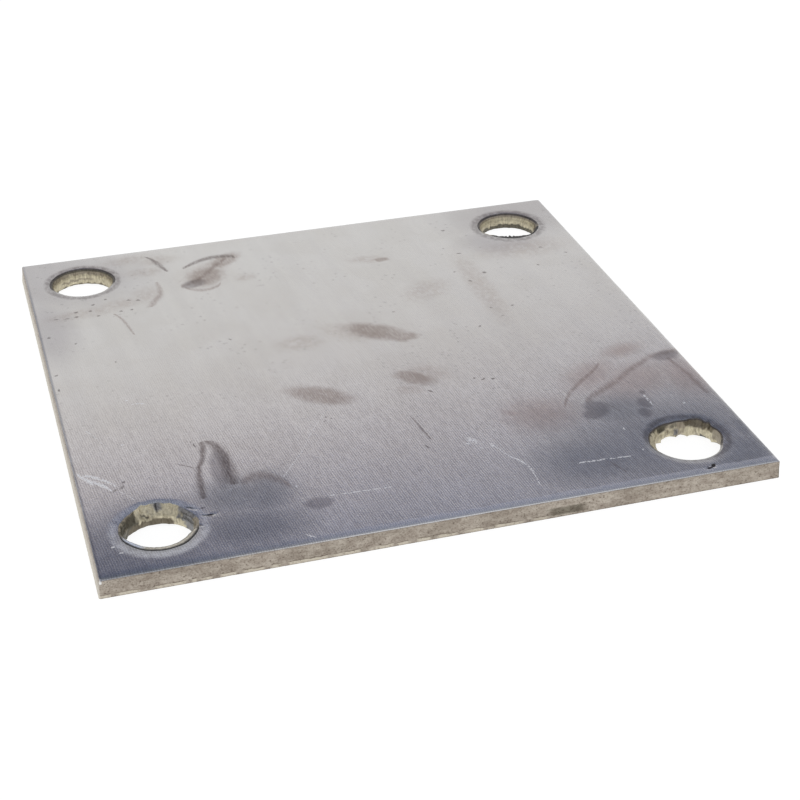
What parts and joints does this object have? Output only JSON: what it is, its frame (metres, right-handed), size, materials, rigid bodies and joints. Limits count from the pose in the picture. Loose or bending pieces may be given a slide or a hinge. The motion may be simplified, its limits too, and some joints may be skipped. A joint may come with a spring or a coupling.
{
  "type": "cover plate",
  "caption": "Flat square cover plate of rolled aluminium, sheared to size, with a punched bolt hole inset from each corner.",
  "frame": {"origin": "centre of the flat bottom face, which the plate rests on", "axes": "+Z is the outward normal of the top face, the face that was struck; X and Y run along the sides"},
  "size_m": [0.127, 0.127, 0.0036],
  "materials": {
    "mill_aluminium": "mill finish with roll lines, scratches and dark handling marks"
  },
  "bodies": {
    "root": {"cover_plate": "mill_aluminium"}
  },
  "joints": []
}
